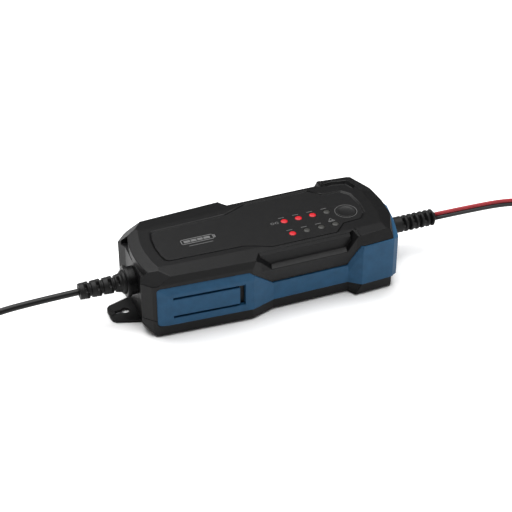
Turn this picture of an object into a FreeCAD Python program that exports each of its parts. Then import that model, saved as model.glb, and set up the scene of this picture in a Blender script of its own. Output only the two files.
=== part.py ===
import FreeCAD
import Part
import Sketcher
import math
import os

# Battery charger in a two-shell plastic case. X runs along the case: the mains lead leaves at -X and
# the low-voltage lead at +X. Z is up, and the origin is the middle of the footprint, on the rest face.
# Millimetres throughout.

DIMENSIONS = {
    # plan of the case, half widths measured from the middle
    "wing_tip_x": -88.8,
    "wing_tip_y": 26.3,
    "wing_side_x": -82.8,
    "wing_side_y": 33.1,
    "case_left_x": -79.8,
    "case_left_y": 35.0,
    "left_block_end_x": -12.8,
    "left_block_end_y": 39.2,
    "waist_start_x": 4.2,
    "waist_end_x": 60.7,
    "waist_y": 33.6,
    "right_block_x": 68.9,
    "foot_block_x": 64.4,
    "right_block_y": 40.0,
    "right_corner_x": 92.2,
    "right_corner_y": 38.6,
    "nose_side_x": 99.2,
    "nose_side_y": 17.0,
    "nose_x": 100.6,
    "end_wall_x": -85.8,
    "end_wall_y": 18.5,
    # levels of the case
    "case_height": 50.0,
    "split_level": 14.0,
    "floor_thickness": 2.6,
    "roof_thickness": 2.6,
    "wall_inset": 5.4,
    "waist_cavity_y": 28.0,
    "foot_chamfer": 1.5,
    "crown_drop": 0.085,
    "crown_left_y": 22.8,
    "crown_right_y": 28.6,
    "crown_turn_x": 67.2,
    # curved strip of the top at the left end
    "roof_inner_x": -75.0,
    "roof_outer_x": -82.6,
    "roof_bulge": 3.2,
    "roof_end_y": 22.6,
    "roof_fall": 2.4,
    # upper edge of the side faces, which lean outward from there down to the band
    "shoulder_level": 49.0,
    "shoulder_left_y": 34.0,
    "shoulder_middle_y": 38.1,
    "shoulder_right_y": 38.4,
    "shoulder_start_x": 56.0,
    "shoulder_end_x": 91.2,
    "shoulder_end_y": 35.0,
    # finger recess along both sides of the waist: a shelf, a near vertical wall and a sloping brow
    "shelf_foot_y": 33.9,
    "shelf_foot_level": 25.5,
    "shelf_y": 37.0,
    "shelf_level": 37.6,
    "shelf_inner_y": 33.0,
    "shelf_inner_level": 39.5,
    "brow_y": 33.3,
    "brow_level": 47.8,
    "brow_top_y": 31.2,
    "brow_top_level": 49.4,
    # coloured band
    "band_low": 9.4,
    "band_high": 41.9,
    "band_left_high": 40.5,
    "band_waist_high": 24.2,
    "band_corner_radius": 2.6,
    "band_proud": 0.9,
    "band_depth": 2.9,
    "band_left_x": -80.2,
    "band_bumper": 3.7,
    "bevel_inset": 1.3,
    "bevel_width": 6.8,
    "bevel_height": 5.8,
    "tongue_left_x": -69.2,
    "tongue_right_x": -18.5,
    "tongue_low": 15.0,
    "tongue_high": 31.8,
    "tongue_groove": 1.6,
    "tongue_slot": 3.8,
    # hanging ear
    "ear_tip_x": -105.2,
    "ear_tip_y": 8.2,
    "ear_root_y": 14.0,
    "ear_thickness": 2.2,
    "keyhole_x": -93.3,
    "keyhole_radius": 2.8,
    "keyhole_slot_x": -99.2,
    "keyhole_slot_width": 3.0,
    # control panel
    "panel_pocket": 1.0,
    "panel_thickness": 0.5,
    "panel_left_x": -68.8,
    "panel_block_y": 18.2,
    "panel_waist_y": 27.3,
    "panel_right_x": 82.0,
    "led_start_x": 24.6,
    "led_pitch": 10.75,
    "led_row_a_y": -1.8,
    "led_row_b_y": -17.6,
    "led_diameter": 4.8,
    "led_base_diameter": 5.6,
    "lens_clearance": 0.2,
    # button
    "button_x": 69.9,
    "button_y": -5.9,
    "button_diameter": 14.6,
    "button_flange": 17.4,
    "button_flange_thickness": 0.9,
    "button_travel": 0.7,
    "button_clearance": 0.25,
    # boards
    "main_board_length": 156.0,
    "main_board_width": 44.0,
    "main_board_x": 0.0,
    "main_board_level": 9.0,
    "board_thickness": 1.6,
    "upper_board_length": 84.0,
    "upper_board_width": 42.0,
    "upper_board_x": 42.0,
    "upper_board_level": 39.8,
    "board_hole_inset": 4.0,
    "board_hole_diameter": 3.2,
    "mains_terminal_x": -73.0,
    "lead_terminal_x": 73.5,
    # leads
    "mains_level": 26.8,
    "mains_cord_diameter": 4.8,
    "mains_boot_end_x": -124.8,
    "lead_level": 23.0,
    "lead_diameter": 5.0,
    "lead_boot_end_x": 144.2,
    "coil_mean_radius": 27.0,
    "coil_lift": 0.8,
    "mains_coil_width": 14.4,
    "mains_coil_height": 14.4,
    "lead_coil_width": 12.0,
    "lead_coil_height": 9.0,
    "mains_coil_x": -281.0,
    "lead_coil_x": 301.0,
    "coil_y": -1.0,
    "plug_length": 35.3,
    "plug_width": 26.0,
    "plug_thickness": 13.7,
    "plug_rear_x": -240.0,
    "pin_length": 19.0,
    "pin_diameter": 4.0,
    "pin_spacing": 18.6,
    "connector_rear_x": 268.0,
    "connector_length": 26.0,
    "connector_width": 16.0,
    "connector_thickness": 9.0,
}

# length, width and height of the boxy components, as sheet aliases NAME_length and so on
BOXES = {
    "board_link": (12.0, 2.6, 29.2),
    "film_capacitor": (18.0, 8.0, 14.0),
    "control_chip": (10.0, 7.0, 1.8),
    "output_relay": (19.0, 15.5, 15.0),
    "mains_terminal": (7.0, 11.0, 9.0),
    "lead_terminal": (8.0, 11.0, 9.0),
}
for box_name, box_size in BOXES.items():
    for side_name, side_value in zip(("length", "width", "height"), box_size):
        DIMENSIONS[f"{box_name}_{side_name}"] = side_value

doc = FreeCAD.newDocument("BatteryCharger")
sheet = doc.addObject("Spreadsheet::Sheet", "Dims")
for row, (name, value) in enumerate(DIMENSIONS.items(), start=1):
    sheet.set(f"A{row}", name)
    sheet.set(f"B{row}", str(value))
    sheet.setAlias(f"B{row}", name)
doc.recompute()

SUBPARTS = []

# how far a cutting tool is carried past the case, sideways and upward
PAST_SIDE = 60.0
PAST_TOP = 20.0

# left and right end of the finger recess: where the end starts at the brow, how far it runs into the top,
# where its wall meets the shelf's inner and outer edges, and one point of the wall's upper edge
RECESS_STARTS = (-5.6, 61.6)
RECESS_TIPS = ((-10.1, -26.6), (67.9, -27.3))
RECESS_WALL_FEET = ((2.6, 1.5), (58.4, 57.9))
RECESS_WALL_TOPS = ((-7.6, -35.0, 48.2), (64.7, -35.7, 48.0))

# rim and floor of the shallow scoop behind the button
SCOOP_RIM = ((67.5, 31.6), (70.6, 24.8), (81.2, 23.2), (86.0, 17.6), (89.6, 20.8), (86.4, 30.6), (75.5, 33.4))
SCOOP_FLOOR = ((70.5, 30.6), (72.4, 26.4), (81.6, 25.2), (85.4, 20.6), (87.4, 22.0), (84.8, 29.0), (75.5, 31.0))
SCOOP_LEVEL = 47.6

# corners of the facets on each wing: on the top, at the roof's end, on the side face, and the level of the foot
WING_TOP_CORNER = (-75.0, -22.6, 50.0)
WING_INNER_CORNER = (-82.6, -22.6, 47.6)
WING_SIDE_CORNER = (-78.2, -33.4, 49.0)
WING_FOOT_LEVEL = 42.2


def dim(name):
    """A driving dimension, read back from the sheet."""
    return float(sheet.get(name))


def vec(x, y, z=0.0):
    return FreeCAD.Vector(x, y, z)


def keep(obj, label):
    """Names an object as a finished sub-part."""
    obj.Label = label
    SUBPARTS.append(obj)
    return obj


def feature(label, shape, place=None):
    """A sub-part whose shape is worked out here rather than by a feature tree."""
    obj = doc.addObject("Part::Feature", label)
    obj.Shape = shape
    if place is not None:
        obj.Placement = place
    return keep(obj, label)


def bind(obj, **expressions):
    for prop, text in expressions.items():
        obj.setExpression(prop.replace("__", "."), text)
    return obj


def origin_plane(body, role):
    return next(f for f in body.Origin.OriginFeatures if f.Role == role)


def new_sketch(body, name, role="XY_Plane"):
    sketch = body.newObject("Sketcher::SketchObject", name)
    sketch.AttachmentSupport = (origin_plane(body, role), [""])
    sketch.MapMode = "FlatFace"
    return sketch


def sketch_polygon(sketch, points):
    """Closed outline of straight lines, joined end to end."""
    first = sketch.GeometryCount
    for start, end in zip(points, points[1:] + points[:1]):
        sketch.addGeometry(Part.LineSegment(vec(*start), vec(*end)), False)
    count = len(points)
    for i in range(count):
        here = first + i
        after = first + (i + 1) % count
        sketch.addConstraint(Sketcher.Constraint("Coincident", here, 2, after, 1))


def sketch_rectangle(sketch, length_text, width_text):
    """Rectangle about the sketch's origin, its two sides bound to the sheet."""
    sketch_polygon(sketch, [(-5, -5), (5, -5), (5, 5), (-5, 5)])
    for line, kind in ((0, "Horizontal"), (1, "Vertical"), (2, "Horizontal"), (3, "Vertical")):
        sketch.addConstraint(Sketcher.Constraint(kind, line))
    sketch.addConstraint(Sketcher.Constraint("Symmetric", 0, 1, 2, 1, -1, 1))
    length = sketch.addConstraint(Sketcher.Constraint("DistanceX", 0, 1, 0, 2, 10.0))
    sketch.setExpression(f"Constraints[{length}]", length_text)
    width = sketch.addConstraint(Sketcher.Constraint("DistanceY", 1, 1, 1, 2, 10.0))
    sketch.setExpression(f"Constraints[{width}]", width_text)


def polygon_prism(points, low, high):
    """Upright prism over a plan outline."""
    wire = Part.makePolygon([vec(x, y, low) for x, y in points + points[:1]])
    return Part.Face(wire).extrude(vec(0, 0, high - low))


def section_prism(points, x_start, x_end):
    """Prism along X over an outline given as (y, z)."""
    wire = Part.makePolygon([vec(x_start, y, z) for y, z in points + points[:1]])
    return Part.Face(wire).extrude(vec(x_end - x_start, 0, 0))


def side_prism(points, y_start, y_end):
    """Prism along Y over an outline given as (x, z)."""
    wire = Part.makePolygon([vec(x, y_start, z) for x, z in points + points[:1]])
    return Part.Face(wire).extrude(vec(0, y_end - y_start, 0))


def both_sides(shape):
    """The shape and its mirror image across the middle plane."""
    return [shape, shape.mirror(vec(0, 0, 0), vec(0, 1, 0))]


def cylinder(x, y, low, high, diameter):
    return Part.makeCylinder(diameter / 2, high - low, vec(x, y, low))


def rod_along_x(x_start, x_end, level, diameter):
    return Part.makeCylinder(diameter / 2, x_end - x_start, vec(x_start, 0, level), vec(1, 0, 0))


def block(x_low, x_high, y_low, y_high, z_low, z_high):
    return Part.makeBox(x_high - x_low, y_high - y_low, z_high - z_low, vec(x_low, y_low, z_low))


def half_outline(grow=0.0, nose=0.0, end_wall=True, block_x=None):
    """Front half of the case's plan, from the left end round to the nose; grow moves it outward."""
    left = [(dim("end_wall_x"), 0.0), (dim("end_wall_x"), dim("end_wall_y"))] if end_wall else []
    block_x = dim("right_block_x") if block_x is None else block_x
    return left + [
        (dim("wing_tip_x") - grow, dim("wing_tip_y") + grow * 0.4),
        (dim("wing_side_x") - grow * 0.6, dim("wing_side_y") + grow * 0.8),
        (dim("case_left_x"), dim("case_left_y") + grow),
        (dim("left_block_end_x") + grow * 0.4, dim("left_block_end_y") + grow),
        (dim("waist_start_x") + grow * 0.2, dim("waist_y") + grow),
        (dim("waist_end_x") - grow * 0.4, dim("waist_y") + grow),
        (block_x - grow * 0.5, dim("right_block_y") + grow),
        (dim("right_corner_x") + grow * 0.3, dim("right_corner_y") + grow),
    ] + bumper_corner(nose) + [
        (dim("nose_side_x") + grow * 0.9 + nose * 0.6, dim("nose_side_y") + grow * 0.3),
        (dim("nose_x") + grow + nose, 0.0),
    ]


def bumper_corner(nose):
    """Extra corner where the band's thick end stands out past the case."""
    if nose <= 0:
        return []
    return [(dim("right_corner_x") + nose + 0.9, dim("right_corner_y") - 1.9)]


def full_outline(half):
    """Closed plan outline from its front half."""
    front = [(x, -y) for x, y in half]
    back = [(x, y) for x, y in reversed(half) if y > 0]
    return front + back


def cavity_outline():
    """Plan of the hollow inside both shells."""
    inset = dim("wall_inset")
    side = dim("waist_cavity_y")
    left = dim("end_wall_x") + 2.6
    half = [
        (left, 0.0),
        (left, dim("end_wall_y") + 3.0),
        (dim("case_left_x") + 1.0, dim("case_left_y") - inset),
        (dim("left_block_end_x") - 1.5, dim("left_block_end_y") - inset - 0.6),
        (dim("waist_start_x") - 3.0, side),
        (dim("waist_end_x") + 4.0, side),
        (dim("right_block_x") + 3.0, dim("right_block_y") - inset - 0.6),
        (dim("right_corner_x") - 4.0, dim("right_corner_y") - inset - 0.4),
        (dim("nose_side_x") - 4.6, dim("nose_side_y")),
        (dim("nose_x") - 4.4, 0.0),
    ]
    return full_outline(half)


def band_solid():
    """Coloured band: round the front, the right end and the back, low at the waist, open at the left."""
    low = dim("band_low")
    high = dim("band_high")
    outer = full_outline(half_outline(dim("band_proud"), dim("band_bumper"), end_wall=False))
    inner = full_outline(half_outline(-dim("band_depth"), end_wall=False))
    ring = polygon_prism(outer, low, high).cut(polygon_prism(inner, low - 1, high + 1))
    ring = ring.cut(block(-200, dim("band_left_x"), -60, 60, 0, 60))
    ring = ring.cut([rounding(dim("band_left_x"), level, way)
                     for level, way in ((dim("band_left_high"), 1), (low, -1))])
    waist = dim("band_waist_high")
    notch = [
        (dim("band_left_x") - 20, dim("band_left_high")),
        (dim("left_block_end_x") - 2.6, dim("band_left_high")),
        (dim("waist_start_x") - 0.6, waist),
        (dim("waist_end_x") - 1.0, waist),
        (dim("right_block_x") - 1.2, high),
        (dim("right_block_x") - 1.2, high + 5),
        (dim("band_left_x") - 20, high + 5),
    ]
    return ring.cut(side_prism(notch, -PAST_SIDE, PAST_SIDE))


def rounding(x, level, way):
    """Material outside a rounded left corner; way is 1 for an upper corner and -1 for a lower one."""
    radius = dim("band_corner_radius")
    middle = level - way * radius
    levels = sorted((middle, level + way))
    square = block(x - 1, x + radius, -PAST_SIDE, PAST_SIDE, levels[0], levels[1])
    bar = Part.makeCylinder(radius, 2 * PAST_SIDE, vec(x + radius, -PAST_SIDE, middle), vec(0, 1, 0))
    return square.cut(bar)


def band_face_y(x):
    """Half width of the band's long face over the left block, at a station along it."""
    slope = (dim("left_block_end_y") - dim("case_left_y")) / (dim("left_block_end_x") - dim("case_left_x"))
    return dim("case_left_y") + dim("band_proud") + slope * (x - dim("case_left_x"))


def tongue_grooves():
    """Three-sided groove that sets a tongue free in each long face of the band, but for its left end."""
    left = dim("tongue_left_x")
    right = dim("tongue_right_x")
    low = dim("tongue_low")
    high = dim("tongue_high")
    groove = dim("tongue_groove")
    slot_left = right - dim("tongue_slot")
    outline = [(left, high), (right, high), (right, low), (left, low), (left, low + groove),
               (slot_left, low + groove), (slot_left, high - groove), (left, high - groove)]
    return both_sides(side_prism(outline, -PAST_SIDE, 0))


def bevel_cutters():
    """Bevels of the band: down its left margin, along its top margin, and beside the right notch."""
    left = dim("band_left_x")
    inner = left + dim("bevel_width")
    inset = dim("bevel_inset")
    past = left - 1.0
    edge_y = band_face_y(past) - inset * (inner - past) / dim("bevel_width")
    plan = [(inner, -band_face_y(inner)), (past, -edge_y), (past, -PAST_SIDE), (inner, -PAST_SIDE)]
    margin = polygon_prism(plan, dim("band_low") - 1, dim("band_high") + 1)
    right = dim("left_block_end_x") + 1.0
    crease = dim("band_left_high") - dim("bevel_height")
    start = vec(past, -band_face_y(past), crease)
    end = vec(right, -band_face_y(right), crease)
    top = [vec(0, 0, 0), vec(0, inset * 1.2, dim("bevel_height") * 1.2), vec(0, -PAST_SIDE, PAST_TOP)]
    top_margin = Part.Face(Part.makePolygon([start + p for p in top + top[:1]])).extrude(end - start)
    return both_sides(margin) + both_sides(top_margin) + both_sides(notch_bevel())


def notch_bevel():
    """Bevel beside the slanted right edge of the band's notch, within the slanted corner face."""
    proud = dim("band_proud")
    low_x = dim("waist_end_x") - proud * 0.4
    high_x = dim("right_block_x") - proud * 0.5
    low_y = dim("waist_y") + proud
    high_y = dim("right_block_y") + proud

    def on_face(x, z, inset=0.0):
        return vec(x, inset - low_y - (high_y - low_y) * (x - low_x) / (high_x - low_x), z)

    plane = [on_face(low_x + 1.2, 21.6), on_face(high_x, 37.0), on_face(high_x - 4.4, 35.6, 1.3)]
    room = block(low_x, high_x, -PAST_SIDE, 0, dim("band_low") + 8, dim("band_high") + 1)
    return beyond(plane, vec(high_x, -PAST_SIDE, dim("band_high"))).common(room)


def beyond(plane, toward):
    """Large block on one side of the plane through three points: the side where another point lies."""
    first, second, third = plane
    normal = (second - first).cross(third - first).normalize()
    if (toward - first).dot(normal) < 0:
        normal = normal * -1
    size = 400.0
    made = Part.makeBox(size, size, size, vec(-size / 2, -size / 2, 0))
    made.Placement = FreeCAD.Placement(first, FreeCAD.Rotation(vec(0, 0, 1), normal))
    return made


def leaning_cutter(start, end, out_run, fall):
    """Material outside a facet that falls away, outward, from the line between two points."""
    along = (end - start).normalize()
    out = vec(along.y, -along.x, 0)
    slope = out * out_run + vec(0, 0, -fall)
    crest = start - slope
    far = start + out * PAST_SIDE
    high = vec(0, 0, PAST_TOP)
    profile = [crest, start + slope, far + vec(0, 0, -fall), far + high, crest + high]
    return Part.Face(Part.makePolygon(profile + profile[:1])).extrude(end - start)


def shoulder_cutters():
    """Leaning upper parts of the side faces, over both blocks and round the right end's corners."""
    level = dim("shoulder_level")
    fall = level - dim("band_high")
    left = vec(dim("wing_side_x"), -dim("shoulder_left_y") + 0.3, level)
    middle = vec(dim("left_block_end_x") + 3.0, -dim("shoulder_middle_y") - 0.2, level)
    right = vec(dim("shoulder_start_x"), -dim("shoulder_right_y"), level)
    corner = vec(dim("shoulder_end_x"), -dim("shoulder_end_y"), level - 0.1)
    nose = vec(dim("nose_side_x"), -dim("nose_side_y"), level - 0.3)
    cutters = both_sides(leaning_cutter(left, middle, 1.4, fall))
    cutters += both_sides(leaning_cutter(right, corner + vec(6, 0.6, 0), 4.0, fall))
    cutters += both_sides(leaning_cutter(corner - vec(2.8, 6.2, 0), nose, 2.5, fall))
    return cutters


def crown_cutters():
    """Material above the gently sloping sides of the top, in three lengths that widen to the right."""
    top = dim("case_height")
    run = 40.0
    fall = run * dim("crown_drop")
    left = vec(dim("case_left_x") + 2.0, -dim("crown_left_y"), top)
    middle = vec(dim("crown_turn_x"), -dim("crown_right_y"), top)
    stations = [left - vec(40, -3.0, 0), left, middle, middle + vec(60, 3.0, 0)]
    cutters = []
    for start, end in zip(stations, stations[1:]):
        cutters += both_sides(leaning_cutter(start, end, run, fall))
    return cutters


def sloped_end(x, y, turn, fall, reach, half_width=60.0):
    """Cutter that slopes the top down from a line through (x, y), turned about Z, over its reach."""
    top = dim("case_height")
    profile = [vec(0, 0, 0), vec(reach, 0, -fall), vec(reach + 30, 0, -fall - fall * 30 / reach),
               vec(reach + 30, 0, 30), vec(0, 0, 30)]
    wedge = Part.Face(Part.makePolygon(profile + profile[:1])).extrude(vec(0, 2 * half_width, 0))
    wedge.translate(vec(0, -half_width, 0))
    wedge.rotate(vec(0, 0, 0), vec(0, 0, 1), turn)
    wedge.translate(vec(x, y, top))
    return wedge


def nose_cutters():
    """Three sloping facets of the top at the rounded right end."""
    centre = sloped_end(90.7, 0, 0, 2.0, 9.5)
    corner = sloped_end(88.6, -22.0, -14, 2.0, 9.0)
    return [centre] + both_sides(corner)


def arc_plate(x_end, bulge, half_width, level):
    """Closed wire at one level: an arc bulging to the left between two points, and a box to its right."""
    far = 40.0
    middle = vec(x_end - bulge, 0, level)
    arc = Part.Arc(vec(x_end, -half_width, level), middle, vec(x_end, half_width, level))
    corners = [vec(x_end, half_width, level), vec(far, half_width, level), vec(far, -half_width, level),
               vec(x_end, -half_width, level)]
    lines = [Part.makeLine(start, end) for start, end in zip(corners, corners[1:])]
    return Part.Wire([arc.toShape()] + lines)


def roof_end_cutters():
    """Curved sloping strip of the top at the left end, and the curved lip below it, between the wings."""
    top = dim("case_height")
    half = dim("roof_end_y")
    low = top - dim("roof_fall")
    inner = arc_plate(dim("roof_inner_x"), dim("roof_bulge"), half, top)
    outer = arc_plate(dim("roof_outer_x"), dim("roof_bulge"), half, low)
    kept = Part.makeLoft([outer, inner], True, True)
    outline = arc_plate(dim("roof_outer_x"), dim("roof_bulge"), half, dim("band_high"))
    lip = Part.Face(outline).extrude(vec(0, 0, PAST_TOP))
    room = block(dim("wing_tip_x") - 10, 0, -half, half, low, top)
    end_room = block(dim("wing_tip_x") - 10, 0, -half, half, dim("band_high"), top + 1)
    return [room.cut(kept), end_room.cut(lip)]


def wing_cutters():
    """Two facets that take off the upper corner of each wing: a shallow triangle and a steep one below."""
    top_corner = vec(*WING_TOP_CORNER)
    inner_corner = vec(*WING_INNER_CORNER)
    side_corner = vec(*WING_SIDE_CORNER)
    tip = vec(dim("wing_tip_x"), -dim("wing_tip_y"), WING_FOOT_LEVEL)
    side = vec(dim("wing_side_x"), -dim("wing_side_y"), WING_FOOT_LEVEL)
    outside = vec(dim("wing_tip_x"), -PAST_SIDE, dim("case_height") + PAST_TOP)
    room = block(dim("wing_tip_x") - 10, -70.0, -PAST_SIDE, -dim("roof_end_y"), 40.0, PAST_SIDE)
    shallow = beyond([top_corner, inner_corner, side_corner], outside).common(room)
    steep = beyond([tip, side, inner_corner], outside).common(room)
    return both_sides(shallow) + both_sides(steep)


def grip_walls():
    """Thicker sides along the waist: they lean outward up to the level of the shelf, then stand upright."""
    inner = -dim("waist_cavity_y")
    section = [
        (inner, dim("shelf_foot_level")),
        (-dim("shelf_foot_y"), dim("shelf_foot_level")),
        (-dim("shelf_y"), dim("shelf_level")),
        (-dim("shelf_y"), dim("case_height")),
        (inner, dim("case_height")),
    ]
    return both_sides(section_prism(section, dim("left_block_end_x") - 2.0, dim("right_block_x")))


def finger_recess_cutters():
    """Grip above the shelf along each side of the waist, with an inclined wall at each end."""
    shelf = dim("shelf_level")
    outer = -dim("shelf_y")
    inner = -dim("shelf_inner_y")
    inner_level = dim("shelf_inner_level")
    brow_top = -dim("brow_top_y")
    section = [
        (brow_top, PAST_SIDE),
        (brow_top, dim("brow_top_level")),
        (-dim("brow_y"), dim("brow_level")),
        (inner, inner_level),
        (outer, shelf),
        (-PAST_SIDE, shelf),
        (-PAST_SIDE, PAST_SIDE),
    ]
    recess = section_prism(section, *RECESS_STARTS)
    for start_x, (tip_x, tip_y) in zip(RECESS_STARTS, RECESS_TIPS):
        plan = [(start_x, brow_top), (tip_x, tip_y), (tip_x, -PAST_SIDE), (start_x, -PAST_SIDE)]
        recess = recess.fuse(polygon_prism(plan, shelf, PAST_SIDE))
    for (inner_x, outer_x), wall_top in zip(RECESS_WALL_FEET, RECESS_WALL_TOPS):
        wall = [vec(inner_x, inner, inner_level), vec(outer_x, outer, shelf), vec(*wall_top)]
        recess = recess.cut(beyond(wall, vec(*wall_top) + vec(wall_top[0] - inner_x, 0, 0)))
    return both_sides(recess)


def back_scoop():
    """Shallow scoop in the back strip of the right block's top."""
    wires = []
    for outline, level in ((SCOOP_FLOOR, SCOOP_LEVEL), (SCOOP_RIM, dim("case_height") + 0.2)):
        wires.append(Part.makePolygon([vec(x, y, level) for x, y in outline + outline[:1]]))
    return Part.makeLoft(wires, True, True)


def panel_outline(shrink=0.0):
    """Plan of the control panel: narrow over both blocks, wide over the waist."""
    narrow = dim("panel_block_y") - shrink
    wide = dim("panel_waist_y") - shrink
    left = dim("panel_left_x") + shrink
    right = dim("panel_right_x") - shrink
    half = [
        (left - 0.8, 0.0),
        (left, 10.0),
        (left + 1.6, narrow - 2.0),
        (left + 4.0, narrow - 0.4),
        (-12.0, narrow + 1.4),
        (-3.5, wide - 4.4),
        (5.5, wide),
        (53.8, wide),
        (62.6, narrow + 0.4),
        (right - 6.0, narrow - 0.6),
        (right - 1.4, narrow - 6.0),
        (right, 0.0),
    ]
    return full_outline(half)


def panel_pocket():
    """Shallow pocket for the control panel, with sloping sides."""
    wires = []
    for shrink, level in ((0.0, dim("case_height") - dim("panel_pocket")), (-1.5, dim("case_height") + 0.3)):
        outline = panel_outline(shrink)
        wires.append(Part.makePolygon([vec(x, y, level) for x, y in outline + outline[:1]]))
    return Part.makeLoft(wires, True, True)


def led_places():
    """The two staggered rows of indicator lamps, as (x, y, lit)."""
    places = []
    for row, (y, lit_count) in enumerate(((dim("led_row_a_y"), 3), (dim("led_row_b_y"), 1))):
        for i in range(4):
            places.append((dim("led_start_x") + i * dim("led_pitch"), y, i < lit_count))
    return places


def corner_places(length, width, x_middle, inset):
    return [(x_middle + sx * (length / 2 - inset), sy * (width / 2 - inset))
            for sx in (-1, 1) for sy in (-1, 1)]


def case_screw_places():
    return [(x, sy * y) for x, y in ((-64.0, 27.2), (80.0, 29.0)) for sy in (-1, 1)]


def main_board_places():
    return corner_places(dim("main_board_length"), dim("main_board_width"), dim("main_board_x"),
                         dim("board_hole_inset"))


def upper_board_places():
    return corner_places(dim("upper_board_length"), dim("upper_board_width"), dim("upper_board_x"),
                         dim("board_hole_inset"))


def top_cover(band):
    """Upper black shell with its crowned top, finger recesses, panel pocket and screw posts."""
    split = dim("split_level")
    top = dim("case_height")
    shell = polygon_prism(full_outline(half_outline()), split, top).fuse(grip_walls())
    cutters = crown_cutters() + shoulder_cutters() + nose_cutters() + roof_end_cutters()
    cutters += wing_cutters() + finger_recess_cutters() + [back_scoop()]
    shell = shell.cut(cutters)
    roof = top - dim("roof_thickness") - dim("panel_pocket") + 0.4
    shell = shell.cut(polygon_prism(cavity_outline(), split - 1, roof - 1.2))
    shell = shell.cut(panel_pocket())
    posts = [cylinder(x, y, split, roof - 0.8, 7.0) for x, y in case_screw_places()]
    board_top = dim("upper_board_level") + dim("board_thickness")
    posts += [cylinder(x, y, board_top, roof - 0.8, 6.4) for x, y in upper_board_places()]
    shell = shell.fuse(posts)
    holes = [cylinder(x, y, split - 1, split + 22, 2.6) for x, y in case_screw_places()]
    holes += [cylinder(x, y, board_top - 1, board_top + 4.0, 2.2) for x, y in upper_board_places()]
    lens_hole = dim("led_diameter") + 2 * dim("lens_clearance")
    holes += [cylinder(x, y, roof - 3, top + 1, lens_hole) for x, y, lit in led_places()]
    button_hole = dim("button_diameter") + 2 * dim("button_clearance")
    holes.append(cylinder(dim("button_x"), dim("button_y"), roof - 3, top + 1, button_hole))
    holes.append(rod_along_x(-100, -70, dim("mains_level"), 11.0))
    holes.append(rod_along_x(85, 120, dim("lead_level"), 9.0))
    return feature("top_cover", shell.cut(holes).cut(band).removeSplitter())


def bottom_case(band):
    """Lower black tray with the hanging ear, board posts and screw wells."""
    split = dim("split_level")
    floor = dim("floor_thickness")
    chamfer = dim("foot_chamfer")
    foot_x = dim("foot_block_x")
    outline = full_outline(half_outline())
    levels = [
        (full_outline(half_outline(-chamfer, block_x=foot_x)), 0.0),
        (full_outline(half_outline(block_x=foot_x)), chamfer),
        (outline, dim("band_low")),
    ]
    wires = [Part.makePolygon([vec(x, y, level) for x, y in plan + plan[:1]]) for plan, level in levels]
    tray = Part.makeLoft(wires, True, True)
    tray = tray.fuse(polygon_prism(outline, dim("band_low"), split))
    tray = tray.cut(polygon_prism(cavity_outline(), floor, split + 1))
    posts = [cylinder(x, y, floor - 0.5, split, 7.0) for x, y in case_screw_places()]
    posts += [cylinder(x, y, floor - 0.5, dim("main_board_level"), 6.4) for x, y in main_board_places()]
    tray = tray.cut(wing_foot_cutters()).fuse(posts + [ear_solid()])
    holes = [cylinder(x, y, -1, split + 1, 3.4) for x, y in case_screw_places()]
    holes += [cylinder(x, y, -1, 4.0, 6.2) for x, y in case_screw_places()]
    holes += [cylinder(x, y, floor, dim("main_board_level") + 1, 2.2) for x, y in main_board_places()]
    return feature("bottom_case", tray.cut(holes + [keyhole_cutter()]).cut(band).removeSplitter())


def wing_foot_cutters():
    """Corner facets under the two wings."""
    wing = sloped_end(-83.0, -24.7, 180 + 15, 9.0, 6.0, 10.5)
    wing = wing.mirror(vec(0, 0, 0), vec(0, 0, 1))
    wing.translate(vec(0, 0, dim("case_height")))
    return both_sides(wing)


def ear_solid():
    """Flat lug at the foot of the left end, rounded at its tip."""
    tip = dim("ear_tip_x")
    tip_y = dim("ear_tip_y")
    root_x = dim("end_wall_x") + 1.5
    plan = [
        (root_x, -dim("ear_root_y") - 1.2),
        (dim("wing_tip_x") + 1.0, -dim("ear_root_y")),
        (tip + 2.6, -tip_y - 1.0),
        (tip + 0.7, -tip_y + 1.2),
        (tip, -tip_y + 4.0),
    ]
    outline = plan + [(x, -y) for x, y in reversed(plan)]
    return polygon_prism(outline, 0, dim("ear_thickness"))


def keyhole_cutter():
    x = dim("keyhole_x")
    tip = dim("keyhole_slot_x")
    half = dim("keyhole_slot_width") / 2
    hole = cylinder(x, 0, -1, dim("ear_thickness") + 1, 2 * dim("keyhole_radius"))
    slot = block(tip, x, -half, half, -1, dim("ear_thickness") + 1)
    end = cylinder(tip, 0, -1, dim("ear_thickness") + 1, 2 * half)
    return hole.fuse([slot, end])


def side_band(band):
    """The coloured band with its bevels, its tongues and the opening for the low-voltage boot."""
    solid = band.cut(bevel_cutters() + tongue_grooves())
    return feature("side_band", solid.cut(rod_along_x(85, 120, dim("lead_level"), 9.0)).removeSplitter())


def panel_overlay():
    """Thin printed sheet in the top's pocket, pierced for the lamps and the button."""
    low = dim("case_height") - dim("panel_pocket")
    high = low + dim("panel_thickness")
    sheet_solid = polygon_prism(panel_outline(0.25), low, high)
    hole = dim("led_diameter") + 2 * dim("lens_clearance")
    holes = [cylinder(x, y, low - 1, high + 1, hole) for x, y, lit in led_places()]
    button = dim("button_diameter") + 2 * dim("button_clearance")
    holes.append(cylinder(dim("button_x"), dim("button_y"), low - 1, high + 1, button))
    return feature("panel_overlay", sheet_solid.cut(holes))


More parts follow.
